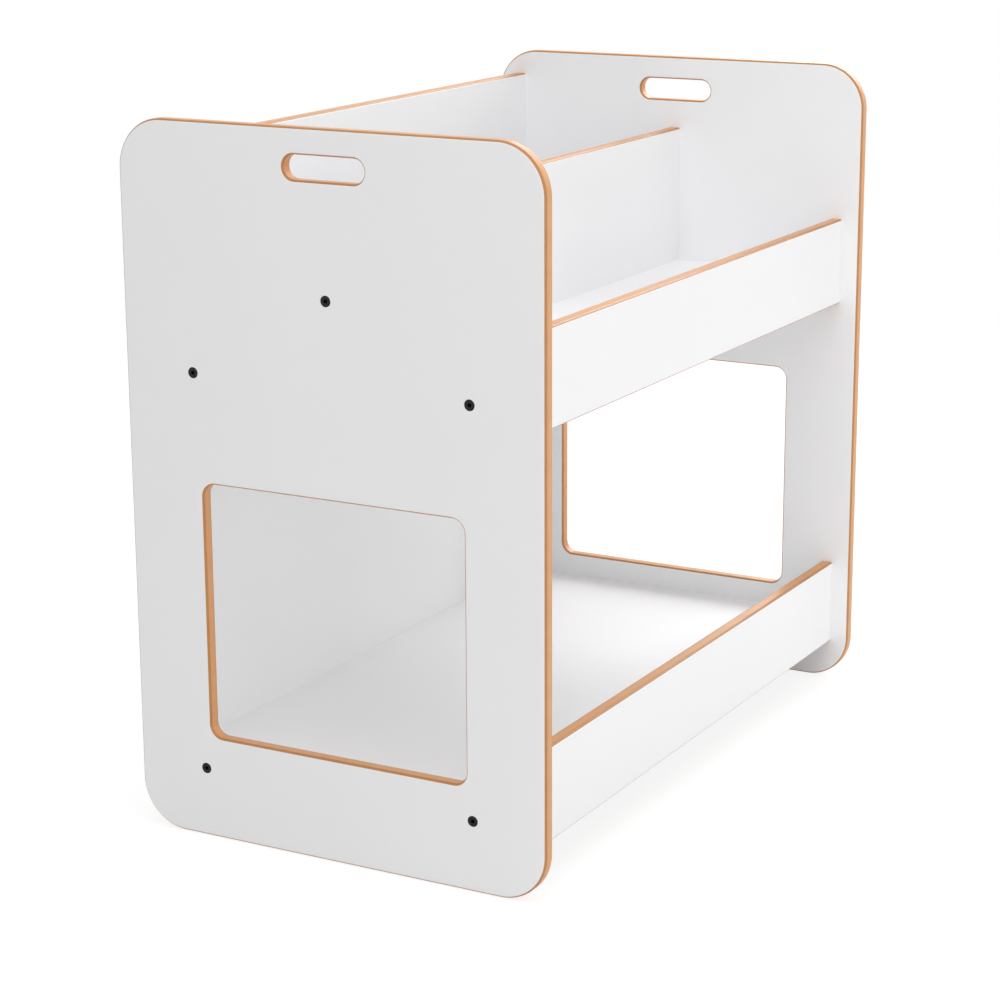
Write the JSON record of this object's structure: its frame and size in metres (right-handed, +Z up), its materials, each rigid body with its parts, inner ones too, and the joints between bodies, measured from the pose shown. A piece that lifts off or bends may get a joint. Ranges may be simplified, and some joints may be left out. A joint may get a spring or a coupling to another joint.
{
  "type": "shelving unit",
  "caption": "Low shelving unit: rounded end panels with windows and hand holes carry shelves, a divider, a back board and front rails of laminated fibreboard.",
  "frame": {"origin": "on the floor, in the middle of the unit's length and depth", "axes": "+X runs along the shelves towards the right end panel, -Y is the front with the rails, +Z is up"},
  "size_m": [0.86, 0.515, 0.8],
  "materials": {
    "mdf": "bare medium density fibreboard, rounded over and clear lacquered at the edges",
    "white_laminate": "satin white melamine laminate",
    "black_steel": "black oxidised steel screws",
    "zinc_steel": "zinc plated steel barrel nuts",
    "beech": "plain beech dowels"
  },
  "bodies": {
    "root": {"left_end_core": "mdf", "left_end_outer_laminate": "white_laminate", "left_end_inner_laminate": "white_laminate", "right_end_core": "mdf", "right_end_outer_laminate": "white_laminate", "right_end_inner_laminate": "white_laminate", "back_board_core": "mdf", "back_board_front_laminate": "white_laminate", "back_board_rear_laminate": "white_laminate", "divider_core": "mdf", "divider_front_laminate": "white_laminate", "divider_rear_laminate": "white_laminate", "upper_rail_core": "mdf", "upper_rail_front_laminate": "white_laminate", "upper_rail_rear_laminate": "white_laminate", "lower_rail_core": "mdf", "lower_rail_front_laminate": "white_laminate", "lower_rail_rear_laminate": "white_laminate", "upper_shelf_core": "mdf", "upper_shelf_top_laminate": "white_laminate", "upper_shelf_bottom_laminate": "white_laminate", "lower_shelf_core": "mdf", "lower_shelf_top_laminate": "white_laminate", "lower_shelf_bottom_laminate": "white_laminate", "left_end_screws": "black_steel", "right_end_screws": "black_steel", "left_barrel_nuts": "zinc_steel", "right_barrel_nuts": "zinc_steel", "left_end_dowels": "beech", "right_end_dowels": "beech", "lower_shelf_dowels": "beech", "upper_shelf_dowels": "beech", "divider_dowels": "beech"}
  },
  "joints": []
}
